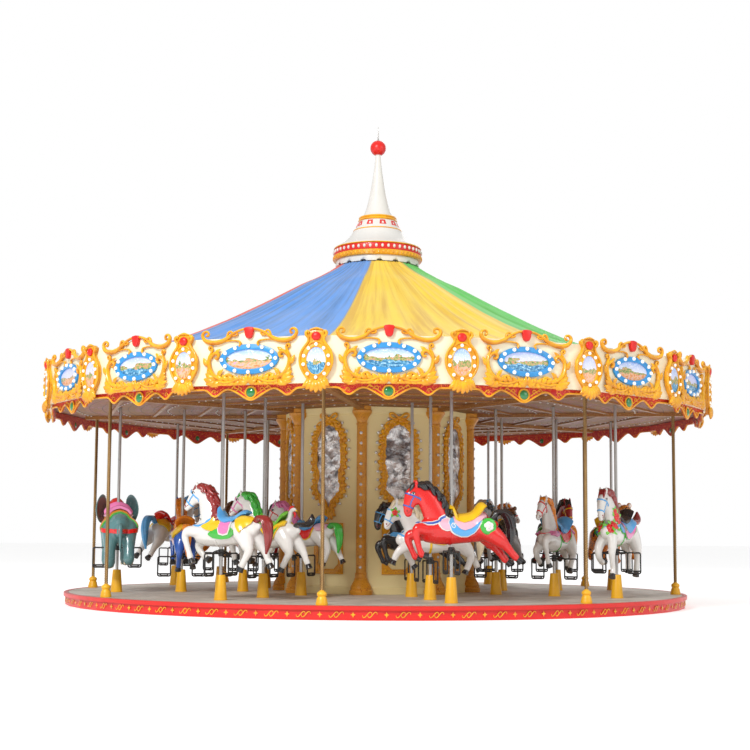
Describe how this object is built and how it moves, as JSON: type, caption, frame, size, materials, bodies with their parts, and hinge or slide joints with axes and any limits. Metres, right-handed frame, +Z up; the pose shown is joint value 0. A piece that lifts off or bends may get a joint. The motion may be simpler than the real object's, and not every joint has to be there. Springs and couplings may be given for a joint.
{
  "type": "fairground carousel",
  "caption": "Round fairground carousel: galloping animals on poles over a turning platform, mirrored centre drum, ornate cornice and a tented roof.",
  "frame": {"origin": "on the ground under the mast, at the centre of the base", "axes": "+Z up along the mast; rows of animals lie along X and Y and the diagonals between them"},
  "size_m": [9.327, 9.3668, 6.88],
  "materials": {
    "red_paint": "gloss",
    "cream_panel": "satin",
    "gold_paint": "gloss",
    "brass_pole": "polished",
    "pole_steel": "brushed",
    "dark_frame": "satin",
    "floor_plate": "matt, worn",
    "ceiling_board": "satin",
    "roof_cloth": "coated cloth in four colours",
    "white_shell": "gloss",
    "animal_shell": "gloss paint in many colours",
    "picture_panel": "satin",
    "mirror_film": "wavy film",
    "lamp_glass": "opal"
  },
  "bodies": {
    "base": {"base_skirt": "red_paint", "base_frame": "dark_frame", "centre_mast": "dark_frame"},
    "turntable": {"deck_1": "floor_plate", "deck_2": "floor_plate", "deck_3": "floor_plate", "deck_4": "floor_plate", "deck_5": "floor_plate", "deck_6": "floor_plate", "deck_7": "floor_plate", "deck_8": "floor_plate", "centre_drum": "cream_panel", "ceiling": "ceiling_board", "cornice": "cream_panel", "valance": "red_paint", "roof_frame": "dark_frame", "canopy": "roof_cloth", "crown": "white_shell", "spire": "white_shell", "finial_ball": "red_paint", "post_1": "brass_pole", "post_2": "brass_pole", "post_3": "brass_pole", "post_4": "brass_pole", "post_5": "brass_pole", "post_6": "brass_pole", "post_7": "brass_pole", "post_8": "brass_pole"},
    "outer_1": {"horse_outer_1": "animal_shell"},
    "outer_2": {"horse_outer_2": "animal_shell"},
    "outer_3": {"tiger_outer_3": "animal_shell"},
    "outer_4": {"horse_outer_4": "animal_shell"},
    "outer_5": {"horse_outer_5": "animal_shell"},
    "outer_6": {"horse_outer_6": "animal_shell"},
    "outer_7": {"elephant_outer_7": "animal_shell"},
    "outer_8": {"horse_outer_8": "animal_shell"},
    "mid_1": {"horse_mid_1": "animal_shell"},
    "mid_2": {"horse_mid_2": "animal_shell"},
    "mid_3": {"horse_mid_3": "animal_shell"},
    "mid_4": {"horse_mid_4": "animal_shell"},
    "mid_5": {"horse_mid_5": "animal_shell"},
    "mid_6": {"horse_mid_6": "animal_shell"},
    "mid_7": {"horse_mid_7": "animal_shell"},
    "mid_8": {"horse_mid_8": "animal_shell"},
    "inner_1": {"horse_inner_1": "animal_shell"},
    "inner_2": {"horse_inner_2": "animal_shell"},
    "inner_3": {"bear_inner_3": "animal_shell"},
    "inner_4": {"horse_inner_4": "animal_shell"},
    "inner_5": {"horse_inner_5": "animal_shell"},
    "inner_6": {"horse_inner_6": "animal_shell"},
    "inner_7": {"horse_inner_7": "animal_shell"},
    "inner_8": {"horse_inner_8": "animal_shell"}
  },
  "joints": [
    {"name": "turntable_spin", "type": "hinge", "parent": "base", "child": "turntable", "pos_m": [0, 0, 4.66], "axis": [0, 0, 1], "continuous": true},
    {"name": "outer_1_gallop", "type": "slide", "parent": "turntable", "child": "outer_1", "axis": [0, 0, 1], "range_m": [-0.215, 0.085]},
    {"name": "outer_2_gallop", "type": "slide", "parent": "turntable", "child": "outer_2", "axis": [0, 0, 1], "range_m": [-0.195, 0.105]},
    {"name": "outer_3_gallop", "type": "slide", "parent": "turntable", "child": "outer_3", "axis": [0, 0, 1], "range_m": [-0.15, 0.15]},
    {"name": "outer_4_gallop", "type": "slide", "parent": "turntable", "child": "outer_4", "axis": [0, 0, 1], "range_m": [-0.09, 0.21]},
    {"name": "outer_5_gallop", "type": "slide", "parent": "turntable", "child": "outer_5", "axis": [0, 0, 1], "range_m": [-0.12, 0.18]},
    {"name": "outer_6_gallop", "type": "slide", "parent": "turntable", "child": "outer_6", "axis": [0, 0, 1], "range_m": [-0.18, 0.12]},
    {"name": "outer_7_gallop", "type": "slide", "parent": "turntable", "child": "outer_7", "axis": [0, 0, 1], "range_m": [-0.21, 0.09]},
    {"name": "outer_8_gallop", "type": "slide", "parent": "turntable", "child": "outer_8", "axis": [0, 0, 1], "range_m": [-0.17, 0.13]},
    {"name": "mid_1_gallop", "type": "slide", "parent": "turntable", "child": "mid_1", "axis": [0, 0, 1], "range_m": [-0.085, 0.215]},
    {"name": "mid_2_gallop", "type": "slide", "parent": "turntable", "child": "mid_2", "axis": [0, 0, 1], "range_m": [-0.105, 0.195]},
    {"name": "mid_3_gallop", "type": "slide", "parent": "turntable", "child": "mid_3", "axis": [0, 0, 1], "range_m": [-0.15, 0.15]},
    {"name": "mid_4_gallop", "type": "slide", "parent": "turntable", "child": "mid_4", "axis": [0, 0, 1], "range_m": [-0.21, 0.09]},
    {"name": "mid_5_gallop", "type": "slide", "parent": "turntable", "child": "mid_5", "axis": [0, 0, 1], "range_m": [-0.18, 0.12]},
    {"name": "mid_6_gallop", "type": "slide", "parent": "turntable", "child": "mid_6", "axis": [0, 0, 1], "range_m": [-0.12, 0.18]},
    {"name": "mid_7_gallop", "type": "slide", "parent": "turntable", "child": "mid_7", "axis": [0, 0, 1], "range_m": [-0.09, 0.21]},
    {"name": "mid_8_gallop", "type": "slide", "parent": "turntable", "child": "mid_8", "axis": [0, 0, 1], "range_m": [-0.13, 0.17]},
    {"name": "inner_1_gallop", "type": "slide", "parent": "turntable", "child": "inner_1", "axis": [0, 0, 1], "range_m": [-0.085, 0.215]},
    {"name": "inner_2_gallop", "type": "slide", "parent": "turntable", "child": "inner_2", "axis": [0, 0, 1], "range_m": [-0.105, 0.195]},
    {"name": "inner_3_gallop", "type": "slide", "parent": "turntable", "child": "inner_3", "axis": [0, 0, 1], "range_m": [-0.15, 0.15]},
    {"name": "inner_4_gallop", "type": "slide", "parent": "turntable", "child": "inner_4", "axis": [0, 0, 1], "range_m": [-0.21, 0.09]},
    {"name": "inner_5_gallop", "type": "slide", "parent": "turntable", "child": "inner_5", "axis": [0, 0, 1], "range_m": [-0.18, 0.12]},
    {"name": "inner_6_gallop", "type": "slide", "parent": "turntable", "child": "inner_6", "axis": [0, 0, 1], "range_m": [-0.12, 0.18]},
    {"name": "inner_7_gallop", "type": "slide", "parent": "turntable", "child": "inner_7", "axis": [0, 0, 1], "range_m": [-0.09, 0.21]},
    {"name": "inner_8_gallop", "type": "slide", "parent": "turntable", "child": "inner_8", "axis": [0, 0, 1], "range_m": [-0.13, 0.17]}
  ],
  "couplings": [
    {"joint": "mid_1_gallop", "follows": "outer_1_gallop", "ratio": -1},
    {"joint": "mid_2_gallop", "follows": "outer_2_gallop", "ratio": -1},
    {"joint": "mid_3_gallop", "follows": "outer_3_gallop", "ratio": -1},
    {"joint": "mid_4_gallop", "follows": "outer_4_gallop", "ratio": -1},
    {"joint": "mid_5_gallop", "follows": "outer_5_gallop", "ratio": -1},
    {"joint": "mid_6_gallop", "follows": "outer_6_gallop", "ratio": -1},
    {"joint": "mid_7_gallop", "follows": "outer_7_gallop", "ratio": -1},
    {"joint": "mid_8_gallop", "follows": "outer_8_gallop", "ratio": -1},
    {"joint": "inner_1_gallop", "follows": "outer_1_gallop", "ratio": -1},
    {"joint": "inner_2_gallop", "follows": "outer_2_gallop", "ratio": -1},
    {"joint": "inner_3_gallop", "follows": "outer_3_gallop", "ratio": -1},
    {"joint": "inner_4_gallop", "follows": "outer_4_gallop", "ratio": -1},
    {"joint": "inner_5_gallop", "follows": "outer_5_gallop", "ratio": -1},
    {"joint": "inner_6_gallop", "follows": "outer_6_gallop", "ratio": -1},
    {"joint": "inner_7_gallop", "follows": "outer_7_gallop", "ratio": -1},
    {"joint": "inner_8_gallop", "follows": "outer_8_gallop", "ratio": -1}
  ]
}
